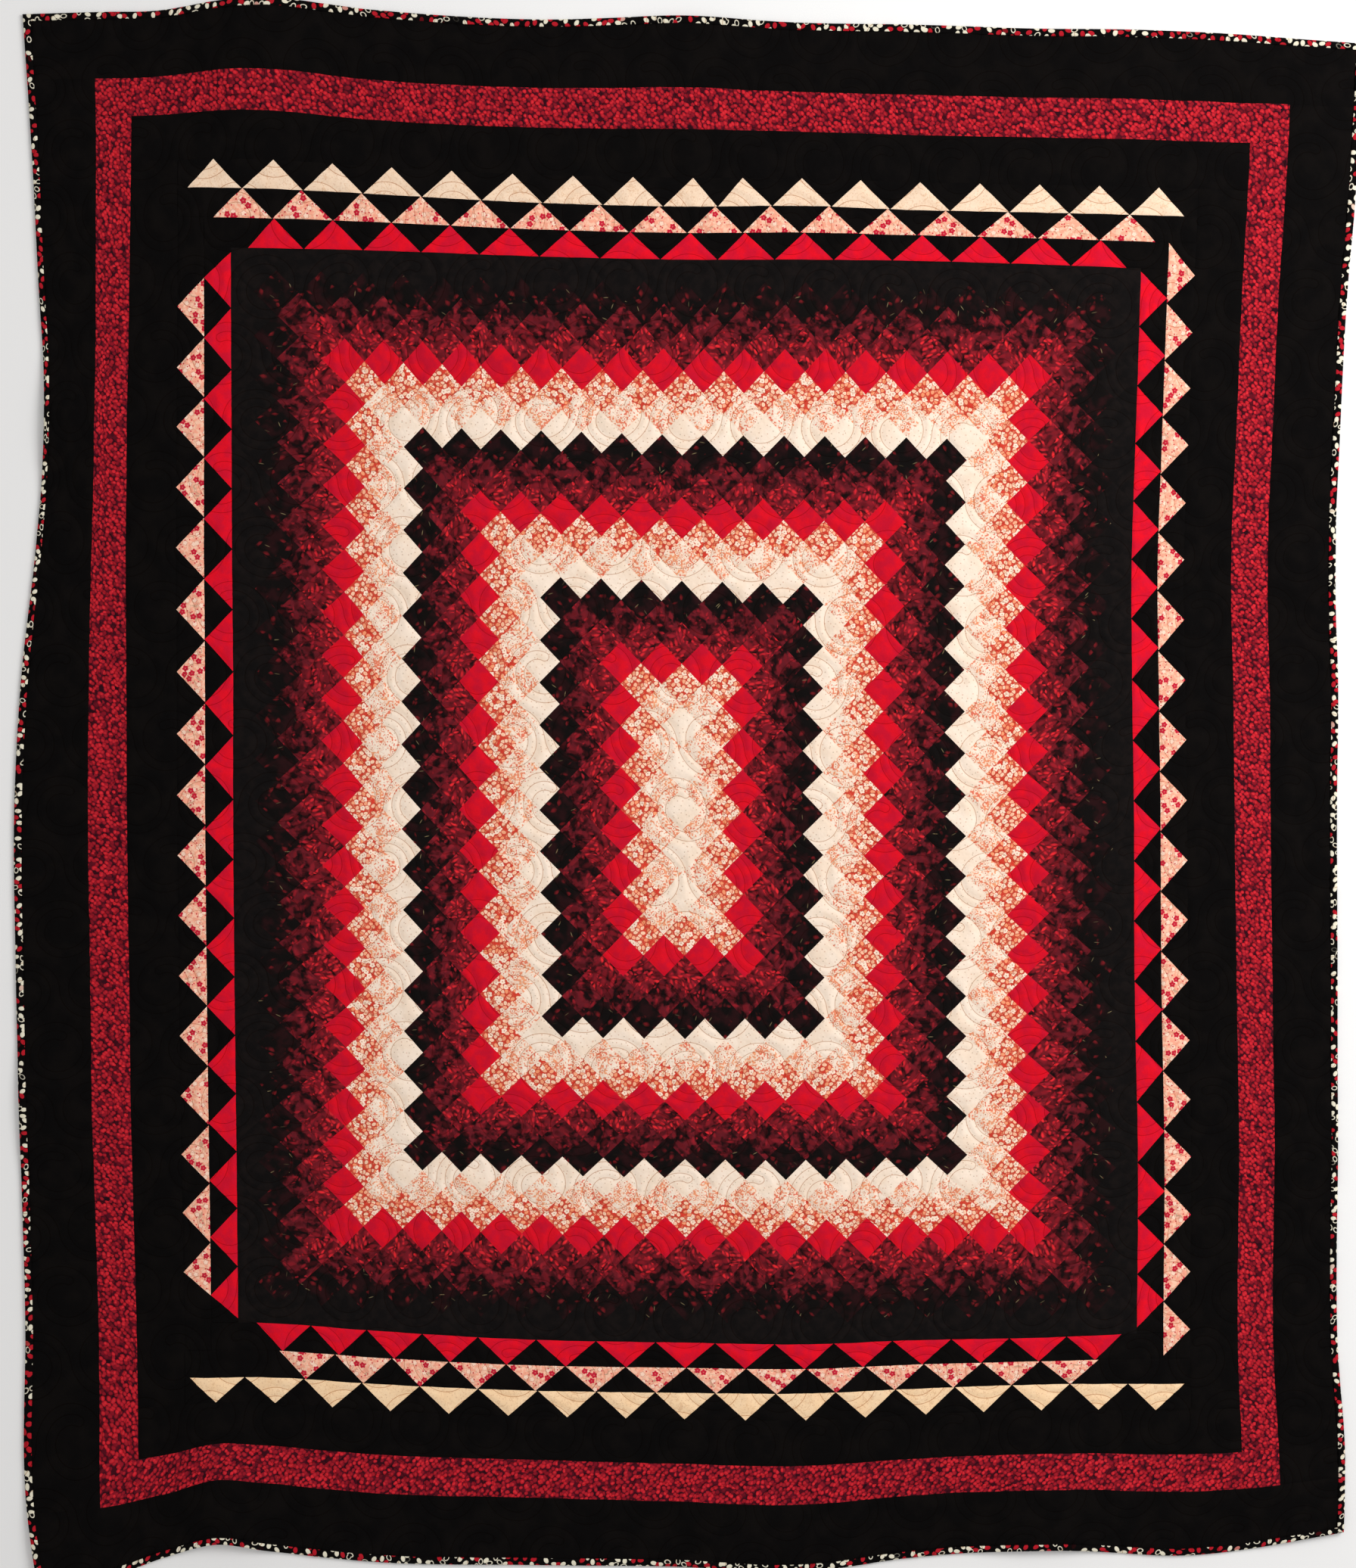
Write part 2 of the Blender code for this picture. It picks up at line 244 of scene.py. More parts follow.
# Every second row runs the other way, half a swirl along
swirl = swirl_line()
swirl_heading = np.gradient(swirl) / np.abs(np.gradient(swirl))
stitches = np.concatenate([swirl, SWIRL - np.conj(swirl) + 1j * ROW_STEP])
headings = np.concatenate([swirl_heading, -np.conj(swirl_heading)])
net_across = np.arange(0, 2 * SWIRL, STITCH_NET) + STITCH_NET / 2
net_down = np.arange(0, 2 * ROW_STEP, STITCH_NET) + STITCH_NET / 2
net_points = (net_across[:, None] + 1j * net_down[None, :]).ravel()
nearest = np.abs(wrapped(net_points[:, None] - stitches[None, :])).argmin(1)
nearest = nearest.reshape(len(net_across), len(net_down))


def stitching(p, q):
    """Each point's distance from the quilting line, and the same with a sign for its side.

    The nearest stitch comes from the net over one repeat, and the distance is then measured
    square to that stitch's heading. A slow wave over the quilt stands for the guiding hand.
    """
    (long_q, bend_p, short_p), (long_p, bend_q, short_q) = HAND_WAVES
    x = p + HAND_WOBBLE * np.sin(q / long_q + bend_p * np.sin(p / short_p))
    y = q + HAND_WOBBLE * np.sin(p / long_p + bend_q * np.sin(q / short_q))
    i = (np.mod(x, 2 * SWIRL) / STITCH_NET).astype(int).clip(0, len(net_across) - 1)
    j = (np.mod(y, 2 * ROW_STEP) / STITCH_NET).astype(int).clip(0, len(net_down) - 1)
    stitch = nearest[i, j]
    away = wrapped(x + 1j * y - stitches[stitch]) * np.conj(headings[stitch])
    past_end = np.clip(np.abs(away.real) - STITCH_STEP / 2, 0, None)
    return np.hypot(away.imag, past_end), away.imag


def face_height(p, q, seam):
    """Height of the quilt's face: puffed away from the stitches, with a ditch at each seam."""
    near, _ = stitching(p, q)
    puff = PUFF * (1 - np.exp(-((near / PUFF_REACH) ** PUFF_FULLNESS)))
    ditch = DITCH * np.exp(-((seam / DITCH_REACH) ** 2))
    rumple = RUMPLE * uneven(p, q, RUMPLE_SIZE, RUMPLE_SEED) * (1 - np.exp(-near / PUFF_REACH))
    swell = SWELL * uneven(p, q, SWELL_SIZE, SWELL_SEED)
    return lifted(p, q) + PRESSED + puff - ditch + rumple + swell


# A turn and a place on the printed cotton for each of many cuts
CUT_PLACES = np.random.default_rng(11).uniform(0, 1, (4096, 3))
SHARP_FOLD = 50


def cloth_mesh(name, p, q, z, faces, fabrics, cuts, materials):
    """A mesh from pattern points and faces, with its print coordinates and stitch distances.

    faces is a list of arrays with a row of corners for each face. Each cut of cloth has its own
    turn and place on the printed cotton: print = turned (p, q) + a shift, in metres.
    """
    mesh = bpy.data.meshes.new(name)
    x, y = laid(p, q)
    mesh.vertices.add(len(p))
    mesh.vertices.foreach_set("co", np.stack([x, y, z], 1).ravel().astype(np.float32))
    corners = np.concatenate([face.ravel() for face in faces])
    counts = np.concatenate([np.full(len(face), face.shape[1]) for face in faces])
    mesh.loops.add(len(corners))
    mesh.loops.foreach_set("vertex_index", corners.astype(np.int32))
    mesh.polygons.add(len(counts))
    mesh.polygons.foreach_set("loop_start", (np.cumsum(counts) - counts).astype(np.int32))
    mesh.polygons.foreach_set("material_index", np.concatenate(fabrics).astype(np.int32))
    place = CUT_PLACES[np.repeat(np.concatenate(cuts), counts) % len(CUT_PLACES)]
    turn = np.floor(place[:, 0] * 4) * np.pi / 2 + np.pi / 4
    across = p[corners] * np.cos(turn) - q[corners] * np.sin(turn) + place[:, 1]
    down = p[corners] * np.sin(turn) + q[corners] * np.cos(turn) + place[:, 2]
    layer = mesh.uv_layers.new(name="print")
    layer.data.foreach_set("uv", np.stack([across, down], 1).ravel().astype(np.float32))
    near, side = stitching(p, q)
    for attribute, values in (("stitch_near", near), ("stitch_side", side)):
        stored = mesh.attributes.new(attribute, "FLOAT", "POINT")
        stored.data.foreach_set("value", values.astype(np.float32))
    mesh.polygons.foreach_set("use_smooth", np.ones(len(counts), bool))
    mesh.update(calc_edges=True)
    for cloth in materials:
        mesh.materials.append(cloth)
    return mesh


def finished_cloth(name, mesh, node):
    """Puts a piece of cloth in the scene: it rides on the quilt and stands for its solid."""
    mesh.set_sharp_from_angle(angle=np.radians(SHARP_FOLD))
    piece = bpy.data.objects.new(name, mesh)
    bpy.context.scene.collection.objects.link(piece)
    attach(piece, "root")
    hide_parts(node)


def add(cloth, kind, inputs=None, **settings):
    """A new shader node. inputs gives its sockets a value, or links another node's output."""
    node = cloth.node_tree.nodes.new("ShaderNode" + kind)
    for name, value in settings.items():
        setattr(node, name, value)
    for socket, value in (inputs or {}).items():
        if isinstance(value, bpy.types.NodeSocket):
            cloth.node_tree.links.new(value, node.inputs[socket])
        else:
            node.inputs[socket].default_value = value
    return node


def reckon(cloth, operation, *values):
    """A Math node's result."""
    return add(cloth, "Math", dict(enumerate(values)), operation=operation).outputs[0]


def times(cloth, first, second):
    """One value times the other."""
    return reckon(cloth, "MULTIPLY", first, second)


def eased(cloth, value, start, end):
    """0 at start, 1 at end, and a smooth step between. start may be the larger."""
    inputs = {"Value": value, "From Min": start, "From Max": end}
    return add(cloth, "MapRange", inputs, interpolation_type="SMOOTHSTEP").outputs[0]


def dyed(colour):
    """A plain colour with its alpha, or the output of a node as it is."""
    return (*colour, 1.0) if isinstance(colour, tuple) else colour


def mixed(cloth, share, first, second):
    """The second colour over the first, by share."""
    inputs = {0: share, 6: dyed(first), 7: dyed(second)}
    return add(cloth, "Mix", inputs, data_type="RGBA").outputs[2]


def printed(cloth):
    """Place on the printed cotton, in metres."""
    return add(cloth, "UVMap", uv_map="print").outputs[0]


def dabs(cloth, place, size, feature="F1", random=1.0):
    """A scatter of cells about this size: a Voronoi node in two dimensions."""
    inputs = {"Vector": place, "Scale": 1 / size, "Randomness": random}
    return add(cloth, "TexVoronoi", inputs, voronoi_dimensions="2D", feature=feature)


def lots_of(cloth, cell):
    """Three random numbers, the same all over each cell."""
    return add(cloth, "SeparateColor", {0: cell.outputs["Color"]}).outputs


def mottle(cloth, place, size, detail=2.0, warp=0.0):
    """Cloudy variation about this size, from 0 to 1."""
    inputs = {"Vector": place, "Scale": 1 / size, "Detail": detail, "Distortion": warp}
    return add(cloth, "TexNoise", inputs, noise_dimensions="2D").outputs[0]


def motifs(cloth, place, size, random=0.9, grow=1.0):
    """A motif in each cell: its own turned coordinates about the cell's middle, and its lots."""
    cell = dabs(cloth, place, size, random=random)
    inputs = {0: place, 1: cell.outputs["Position"]}
    local = add(cloth, "VectorMath", inputs, operation="SUBTRACT").outputs[0]
    lots = lots_of(cloth, cell)
    angle = times(cloth, lots[0], 2 * np.pi)
    inputs = {"Vector": local, "Angle": angle}
    turned = add(cloth, "VectorRotate", inputs, rotation_type="Z_AXIS").outputs[0]
    apart = add(cloth, "SeparateXYZ", {0: turned}).outputs
    return apart[0], apart[1], lots


def radius_of(cloth, x, y, width, height):
    """Distance from a motif's middle, 1 on an oval of these half sizes."""
    across = reckon(cloth, "DIVIDE", x, width)
    down = reckon(cloth, "DIVIDE", y, height)
    squares = [times(cloth, side, side) for side in (across, down)]
    return reckon(cloth, "SQRT", reckon(cloth, "ADD", *squares))


def bloom(cloth, x, y, reach):
    """Distance from a flower's middle, 1 at its edge, which swells out at each of five petals."""
    turn = times(cloth, reckon(cloth, "ARCTAN2", y, x), 5.0)
    swell = reckon(cloth, "COSINE", turn)
    edge = reckon(cloth, "MULTIPLY_ADD", swell, 0.13 * reach, 0.87 * reach)
    return reckon(cloth, "DIVIDE", radius_of(cloth, x, y, 1.0, 1.0), edge)


def band(cloth, value, middle, half):
    """1 where the value is near the middle, falling to 0 a half width either side."""
    off = reckon(cloth, "ABSOLUTE", reckon(cloth, "SUBTRACT", value, middle))
    return eased(cloth, off, half, half * 0.5)


def strokes(cloth, place, patch, width, length):
    """Brush strokes in tufts, each turned its own way: the distance off a stroke, and its lots.

    The strokes are thinner near the edge of a tuft.
    """
    x, y, _ = motifs(cloth, place, patch)
    hem = dabs(cloth, place, patch, "DISTANCE_TO_EDGE", 0.9).outputs["Distance"]
    across = reckon(cloth, "DIVIDE", x, width)
    down = reckon(cloth, "DIVIDE", y, length)
    cell = dabs(cloth, add(cloth, "CombineXYZ", {0: across, 1: down}).outputs[0], 1.0)
    off = reckon(cloth, "MULTIPLY_ADD", eased(cloth, hem, 0.09, 0.0), 0.45, cell.outputs[0])
    return off, lots_of(cloth, cell)


# The quilting line is drawn wider than the thread: it is partly brown thread and partly painted
# shade of the dip at the stitches.
THREAD_AND_DIP_SHADE = (0.66, 0.51, 0.43)
THREAD_AND_SHADE_HALF = 0.00050
THREAD_AND_SHADE_REACH = 0.0055
WEAVE = 0.00042
WEAVE_SHARE = 0.05
PUCKER = 0.009
BUMP_STRENGTH = 0.55
BUMP_DEPTH = 0.0016
COTTON_ROUGHNESS = 0.92
COTTON_SHINE = 0.04


def cotton(name, colour_of, *colours):
    """Quilting cotton: its print, the fine brown thread, and a bump of weave and puckers.

    The thread is so fine that the cloth shows through: its colour multiplies the print's. Its line
    is drawn wider than the thread, so it also paints the shade in the dip at the stitches.
    """
    cloth = bpy.data.materials.new(name)
    cloth.use_nodes = True
    shader = cloth.node_tree.nodes["Principled BSDF"]
    place = printed(cloth)
    colour = colour_of(cloth, place, *colours)
    side = add(cloth, "Attribute", attribute_name="stitch_side").outputs["Fac"]
    near = add(cloth, "Attribute", attribute_name="stitch_near").outputs["Fac"]
    # A line along the stitches, darkened by multiplying: partly the thread, partly painted shade of
    # the stitch dip.
    on_line = eased(cloth, reckon(cloth, "ABSOLUTE", side), THREAD_AND_SHADE_HALF * 1.5, THREAD_AND_SHADE_HALF)
    in_reach = eased(cloth, near, THREAD_AND_SHADE_REACH, THREAD_AND_SHADE_REACH - 2 * THREAD_AND_SHADE_HALF)
    thread = times(cloth, on_line, in_reach)
    inputs = {0: thread, 6: colour, 7: dyed(THREAD_AND_DIP_SHADE)}
    colour = add(cloth, "Mix", inputs, data_type="RGBA", blend_type="MULTIPLY").outputs[2]
    cloth.node_tree.links.new(colour, shader.inputs["Base Color"])
    shader.inputs["Roughness"].default_value = COTTON_ROUGHNESS
    shader.inputs["Specular IOR Level"].default_value = COTTON_SHINE
    ways = add(cloth, "SeparateXYZ", {0: place}).outputs
    warp = reckon(cloth, "SINE", times(cloth, ways[0], 2 * np.pi / WEAVE))
    weft = reckon(cloth, "SINE", times(cloth, ways[1], 2 * np.pi / WEAVE))
    weave = times(cloth, warp, weft)
    pucker = mottle(cloth, place, PUCKER, detail=3.0)
    height = reckon(cloth, "MULTIPLY_ADD", weave, WEAVE_SHARE, pucker)
    inputs = {"Strength": BUMP_STRENGTH, "Distance": BUMP_DEPTH, "Height": height}
    bump = add(cloth, "Bump", inputs).outputs[0]
    cloth.node_tree.links.new(bump, shader.inputs["Normal"])
    return cloth


CREAM = (0.97, 0.80, 0.655)
BLACK = (0.0030, 0.0025, 0.0025)


def pin_dots(cloth, place, ground):
    """Pin dots scattered on the ground, some grey green and some tan."""
    cell = dabs(cloth, place, 0.0098)
    dot = mixed(cloth, lots_of(cloth, cell)[0], (0.36, 0.3, 0.19), (0.66, 0.28, 0.15))
    share = times(cloth, eased(cloth, cell.outputs[0], 0.15, 0.06), 0.62)
    return mixed(cloth, share, ground, dot)


def cream_dotted(cloth, place):
    """Cream with pin dots, a little deeper in places."""
    cloud = eased(cloth, mottle(cloth, place, 0.035), 0.35, 0.7)
    return pin_dots(cloth, place, mixed(cloth, cloud, CREAM, (0.93, 0.74, 0.58)))


def cream_sprigged(cloth, place):
    """Cream with pale flowers edged in coral, among irregular clusters of coral petals."""
    cluster = mottle(cloth, place, 0.022, 1.0)
    crowd = eased(cloth, cluster, 0.38, 0.62)
    ground = mixed(cloth, times(cloth, crowd, 0.34), CREAM, (0.93, 0.49, 0.27))
    sprig = band(cloth, mottle(cloth, place, 0.0088, 0.0, 1.1), 0.5, 0.042)
    ground = mixed(cloth, times(cloth, sprig, 0.4), ground, (0.74, 0.34, 0.2))
    petals = mottle(cloth, place, 0.004, 0.0)
    petals = reckon(cloth, "MULTIPLY_ADD", cluster, 0.7, petals)
    lots = lots_of(cloth, dabs(cloth, place, 0.012))
    tint = mixed(cloth, lots[1], (0.74, 0.08, 0.034), (0.88, 0.3, 0.12))
    share = times(cloth, eased(cloth, petals, 0.9, 1.0), 0.85)
    colour = mixed(cloth, share, ground, tint)
    x, y, chance = motifs(cloth, place, 0.0112)
    away = bloom(cloth, x, y, 0.0043)
    kept = eased(cloth, chance[2], 0.48, 0.52)
    petal = times(cloth, eased(cloth, away, 1.05, 0.85), kept)
    colour = mixed(cloth, petal, colour, (0.96, 0.78, 0.61))
    ring = times(cloth, band(cloth, away, 1.0, 0.26), kept)
    ring = times(cloth, ring, reckon(cloth, "MULTIPLY_ADD", crowd, 0.6, 0.2))
    colour = mixed(cloth, ring, colour, (0.76, 0.2, 0.1))
    eye = times(cloth, eased(cloth, away, 0.4, 0.2), kept)
    return pin_dots(cloth, place, mixed(cloth, eye, colour, (0.6, 0.13, 0.1)))


def cream_floral(cloth, place):
    """Crowded almond petals from cream to coral, outlined in rust, with white flowers among."""
    x, y, lots = motifs(cloth, place, 0.0082)
    rim = dabs(cloth, place, 0.0082, "DISTANCE_TO_EDGE", 0.9).outputs["Distance"]
    away = radius_of(cloth, x, y, 0.0052, 0.0036)
    ripe = eased(cloth, lots[1], 0.25, 1.0)
    tint = mixed(cloth, ripe, (0.98, 0.65, 0.45), (0.92, 0.31, 0.15))
    heart = times(cloth, eased(cloth, away, 0.5, 0.0), 0.35)
    tint = mixed(cloth, heart, tint, (0.9, 0.38, 0.22))
    filler = eased(cloth, mottle(cloth, place, 0.01, 1.0), 0.34, 0.54)
    filler = mixed(cloth, filler, (0.86, 0.37, 0.21), (0.72, 0.05, 0.03))
    colour = mixed(cloth, eased(cloth, away, 1.06, 0.92), filler, tint)
    line = times(cloth, band(cloth, away, 1.0, 0.28), 0.88)
    colour = mixed(cloth, line, colour, (0.58, 0.065, 0.034))
    colour = mixed(cloth, eased(cloth, rim, 0.1, 0.035), colour, (0.6, 0.05, 0.03))
    away = bloom(cloth, x, y, 0.0055)
    kept = eased(cloth, lots[2], 0.74, 0.77)
    petal = times(cloth, eased(cloth, away, 1.05, 0.9), kept)
    colour = mixed(cloth, petal, colour, (0.99, 0.76, 0.6))
    eye = times(cloth, eased(cloth, away, 0.3, 0.16), kept)
    return mixed(cloth, eye, colour, (0.56, 0.27, 0.17))


def clouded_red(cloth, place, crimson, scarlet):
    """Red with the soft clouding of a hand-dyed cotton, and a finer grain."""
    cloud = eased(cloth, mottle(cloth, place, 0.022, 4.0), 0.32, 0.68)
    colour = mixed(cloth, cloud, crimson, scarlet)
    grain = times(cloth, mottle(cloth, place, 0.0022, 1.0), 0.28)
    return mixed(cloth, grain, colour, (0.4, 0.007, 0.02))


def bright_marbled(cloth, place):
    """Sprays of red petals, dim and bright, on soft maroon and black clouds."""
    cloud = eased(cloth, mottle(cloth, place, 0.018, 2.0), 0.32, 0.66)
    colour = mixed(cloth, cloud, (0.012, 0.0048, 0.0055), (0.165, 0.011, 0.018))
    off, lots = strokes(cloth, place, 0.03, 0.0072, 0.0175)
    tint = mixed(cloth, lots[1], (0.036, 0.006, 0.008), (0.38, 0.015, 0.026))
    body = times(cloth, eased(cloth, off, 0.8, 0.15), 0.85)
    colour = mixed(cloth, body, colour, tint)
    off, lots = strokes(cloth, place, 0.023, 0.0058, 0.015)
    tint = mixed(cloth, lots[1], (0.32, 0.012, 0.026), (0.84, 0.026, 0.034))
    body = eased(cloth, off, 0.6, 0.14)
    bright = eased(cloth, mottle(cloth, place, 0.024, 1.0), 0.36, 0.6)
    share = reckon(cloth, "MULTIPLY_ADD", bright, -0.6, 0.88)
    kept = eased(cloth, reckon(cloth, "SUBTRACT", lots[0], share), 0.0, 0.12)
    return mixed(cloth, times(cloth, body, kept), colour, tint)


def dark_marbled(cloth, place):
    """Maroon clouds fading into black, with broad dim petals and a few redder ones."""
    cloud = eased(cloth, mottle(cloth, place, 0.02, 3.0), 0.42, 0.6)
    colour = mixed(cloth, cloud, (0.008, 0.0044, 0.0047), (0.13, 0.0115, 0.018))
    off, lots = strokes(cloth, place, 0.036, 0.009, 0.02)
    tint = mixed(cloth, lots[1], (0.011, 0.0047, 0.0052), (0.26, 0.0145, 0.023))
    body = reckon(cloth, "MULTIPLY_ADD", cloud, 0.75, 0.25)
    body = times(cloth, eased(cloth, off, 0.8, 0.1), body)
    colour = mixed(cloth, body, colour, tint)
    off, lots = strokes(cloth, place, 0.024, 0.006, 0.015)
    tint = mixed(cloth, lots[1], (0.15, 0.01, 0.018), (0.44, 0.016, 0.026))
    body = eased(cloth, off, 0.6, 0.12)
    kept = eased(cloth, lots[0], 0.78, 0.9)
    return mixed(cloth, times(cloth, body, kept), colour, tint)


def flecked_black(cloth, place):
    """Black with a maroon haze, soft dim red blots and a few thin straw-coloured strokes."""
    haze = eased(cloth, mottle(cloth, place, 0.026, 2.0), 0.4, 0.72)
    ground = mixed(cloth, haze, (0.0062, 0.0048, 0.0046), (0.021, 0.0062, 0.007))
    off, lots = strokes(cloth, place, 0.024, 0.0075, 0.0105)
    blot = eased(cloth, off, 0.78, 0.0)
    kept = eased(cloth, lots[1], 0.72, 1.05)
    tint = mixed(cloth, lots[2], (0.07, 0.0085, 0.011), (0.21, 0.0125, 0.017))
    ground = mixed(cloth, times(cloth, blot, kept), ground, tint)
    x, y, lots = motifs(cloth, place, 0.025)
    stroke = eased(cloth, radius_of(cloth, x, y, 0.0007, 0.0044), 1.3, 0.6)
    kept = eased(cloth, lots[1], 0.5, 0.95)
    return mixed(cloth, times(cloth, stroke, kept), ground, (0.18, 0.14, 0.07))


def faded_black(cloth, place, size, deep, faded):
    """Black, a little browner in clouds about this size where it has faded."""
    cloud = eased(cloth, mottle(cloth, place, size, 3.0), 0.35, 0.7)
    return mixed(cloth, cloud, deep, faded)


def backing_print(cloth, place):
    """Unbleached cotton, hardly uneven."""
    cloud = mottle(cloth, place, 0.03)
    return mixed(cloth, cloud, (0.62, 0.52, 0.39), (0.7, 0.6, 0.46))


# The panel's own red is deeper than the triangles', and its black lighter than the borders'
black_cotton = cotton("black cotton", faded_black, 0.045, BLACK, (0.0046, 0.0036, 0.0033))
backing = cotton("backing", backing_print)
red_cotton = cotton("red cotton", clouded_red, (0.68, 0.007, 0.03), (0.86, 0.006, 0.02))
panel_red = cotton("panel red cotton", clouded_red, (0.58, 0.0065, 0.027), (0.76, 0.006, 0.018))
PANEL_BLACKS = (0.006, 0.005, 0.005), (0.0092, 0.0068, 0.0064)
PANEL_COTTONS = (
    cotton("cream dotted cotton", cream_dotted),
    cotton("cream sprigged cotton", cream_sprigged),
    cotton("cream floral cotton", cream_floral),
    panel_red,
    cotton("bright marbled cotton", bright_marbled),
    cotton("dark marbled cotton", dark_marbled),
    cotton("flecked black cotton", flecked_black),
    cotton("panel black cotton", faded_black, 0.020, *PANEL_BLACKS),
    backing,
)

# A net over the whole panel, its two ways running along the seams of the squares
half_net = (SQUARES_ACROSS + SQUARES_DOWN) // 2
net_lines = np.linspace(-half_net, half_net, 2 * half_net * SQUARES_EDGE + 1)
net_u, net_v = np.meshgrid(net_lines, net_lines, indexing="ij")
squares_out = (net_u - net_v) / 2
squares_up = (net_u + net_v) / 2
panel_p = (squares_out * PITCH_ACROSS).ravel()
panel_q = (squares_up * PITCH_DOWN).ravel()
to_seam = np.minimum(np.abs(net_u % 1 - 0.5), np.abs(net_v % 1 - 0.5)) * SQUARE
to_side = (SQUARES_ACROSS / 2 - np.abs(squares_out)) * PITCH_ACROSS
to_end = (SQUARES_DOWN / 2 - np.abs(squares_up)) * PITCH_DOWN
panel_seam = np.minimum(to_seam, np.minimum(to_side, to_end)).ravel()
on_panel = (np.minimum(to_side, to_end) > -1e-6).ravel()

# Each cell of the net has four corners. Those cut by the panel's edge keep three
row, column = np.meshgrid(*[np.arange(len(net_lines) - 1)] * 2, indexing="ij")
first = (row * len(net_lines) + column).ravel()
cell_corners = np.stack([first, first + len(net_lines), first + len(net_lines) + 1, first + 1], 1)
square_m = np.floor(net_lines[row] + 0.5 + 0.5 / SQUARES_EDGE).ravel().astype(int)
square_n = np.floor(net_lines[column] + 0.5 + 0.5 / SQUARES_EDGE).ravel().astype(int)
corners_in = on_panel[cell_corners]
whole = corners_in.sum(1) == 4
cut_cells = [(corners_in.sum(1) == 3) & ~corners_in[:, missing] for missing in range(4)]


def panel_section(name, lowest, highest):
    """The squares whose middles lie between two heights, counted in squares, as a closed sheet."""
    middle = (square_m + square_n) / 2
    within = (middle > lowest) & (middle < highest)
    faces = [cell_corners[whole & within]]
    owners = [np.flatnonzero(whole & within)]
    for missing, cut in enumerate(cut_cells):
        kept = [(missing + 1) % 4, (missing + 2) % 4, (missing + 3) % 4]
        faces.append(cell_corners[cut & within][:, kept])
        owners.append(np.flatnonzero(cut & within))
    used = np.unique(np.concatenate([face.ravel() for face in faces]))
    number = np.full(len(panel_p), -1)
    number[used] = np.arange(len(used))
    faces = [number[face] for face in faces]
    fabrics, cuts = [], []
    for owner in owners:
        out = np.abs(square_m[owner] - square_n[owner]) / 2
        up = np.abs(square_m[owner] + square_n[owner]) / 2
        ring = np.round(2 * np.maximum(out, up - MIDDLE_REACH)).astype(int)
        shaded = ring < FIRST_BLACK_ROUND
        fabrics.append(np.where(shaded, ring % FABRICS_PER_TRIP, FABRICS_PER_TRIP))
        cuts.append((square_m[owner] + half_net) * CUTS_A_ROW + square_n[owner] + half_net)
    starts = np.concatenate([face.ravel() for face in faces])
    ends = np.concatenate([np.roll(face, -1, axis=1).ravel() for face in faces])
    outer = ~np.isin(starts * len(used) + ends, ends * len(used) + starts)
    starts, ends = starts[outer], ends[outer]
    rim = np.unique(starts)
    below = np.full(len(used), -1)
    below[rim] = len(used) + np.arange(len(rim))
    faces.append(np.stack([ends, starts, below[starts], below[ends]], 1))
    fabrics.append(np.full(len(starts), len(PANEL_COTTONS) - 1))
    cuts.append(np.zeros(len(starts), int))
    p = np.concatenate([panel_p[used], panel_p[used][rim]])
    q = np.concatenate([panel_q[used], panel_q[used][rim]])
    z = np.zeros(len(p))
    z[: len(used)] = face_height(panel_p[used], panel_q[used], panel_seam[used])
    mesh = cloth_mesh(name, p, q, z, faces, fabrics, cuts, PANEL_COTTONS)
    whole_mesh = bmesh.new()
    whole_mesh.from_mesh(mesh)
    open_edges = [edge for edge in whole_mesh.edges if edge.is_boundary]
    filled = bmesh.ops.holes_fill(whole_mesh, edges=open_edges)["faces"]
    for face in filled:
        face.material_index = len(PANEL_COTTONS) - 1
        face.smooth = True
    whole_mesh.to_mesh(mesh)
    whole_mesh.free()
    finished_cloth(name, mesh, "centre_panel")


panel_section("panel_top", SECTION_SEAM, np.inf)
panel_section("panel_middle", -SECTION_SEAM, SECTION_SEAM)
panel_section("panel_bottom", -np.inf, -SECTION_SEAM)


# Flying geese: strips of large triangles with small black ones between, each strip pieced and
# then sewn on with the triangles' long sides to the middle. Red, then pink floral, then cream.
# BASE_GAP is the black between two geese at their long sides, and END_CELL a cell's length past
# the first and last ones. Tips move by up to GOOSE_JITTER mm. A slanted seam is SLANT as far away
# as it is along the strip, and the last black triangle takes LAST_BLACK of its room at most
GEESE_ROWS = 14
BASE_GAP = 0.0018
END_CELL = 0.006
GOOSE_JITTER = 1.0
SLANT = 0.7
LAST_BLACK = 0.8
CREEP_PASSES = 5
CUTS_A_ROUND = 97
CUTS_A_SIDE = 31
BLACK_CUT = 5

# Places along each strip as laid, by round and side, to the nearest 5 mm from the panel's middle:
# where the first goose begins, where the last one ends, and the tips of a few geese by number.
# The others lie evenly between
GEESE = (
    (0, "left", -895, 960, ((0, -855), (4, -455), (8, -45), (11, 285), (13, 495), (17, 915))),
    (0, "right", -910, 925, ((0, -865), (2, -675), (4, -465), (8, -45), (12, 375), (17, 880))),
    (0, "bottom", -740, 765, ((0, -695), (4, -305), (8, 110), (12, 520), (14, 720))),
    (0, "top", -755, 775, ((0, -710), (4, -300), (7, 15), (8, 110), (12, 520), (14, 730))),
    (1, "left", -855, 915, ((0, -815), (4, -405), (8, 15), (12, 445), (16, 865))),
    (1, "right", -960, 975, ((0, -915), (4, -515), (8, -100), (12, 320), (13, 425), (18, 920))),
    (1, "bottom", -700, 725, ((0, -655), (4, -255), (8, 165), (10, 370), (13, 675))),
    (1, "top", -815, 825, ((0, -765), (4, -350), (7, -40), (9, 155), (12, 460), (15, 780))),
    (2, "bottom", -855, 875, ((0, -810), (4, -405), (8, 5), (12, 425), (16, 825))),
    (2, "top", -860, 875, ((0, -815), (4, -400), (8, 20), (9, 105), (12, 415), (16, 830))),
)


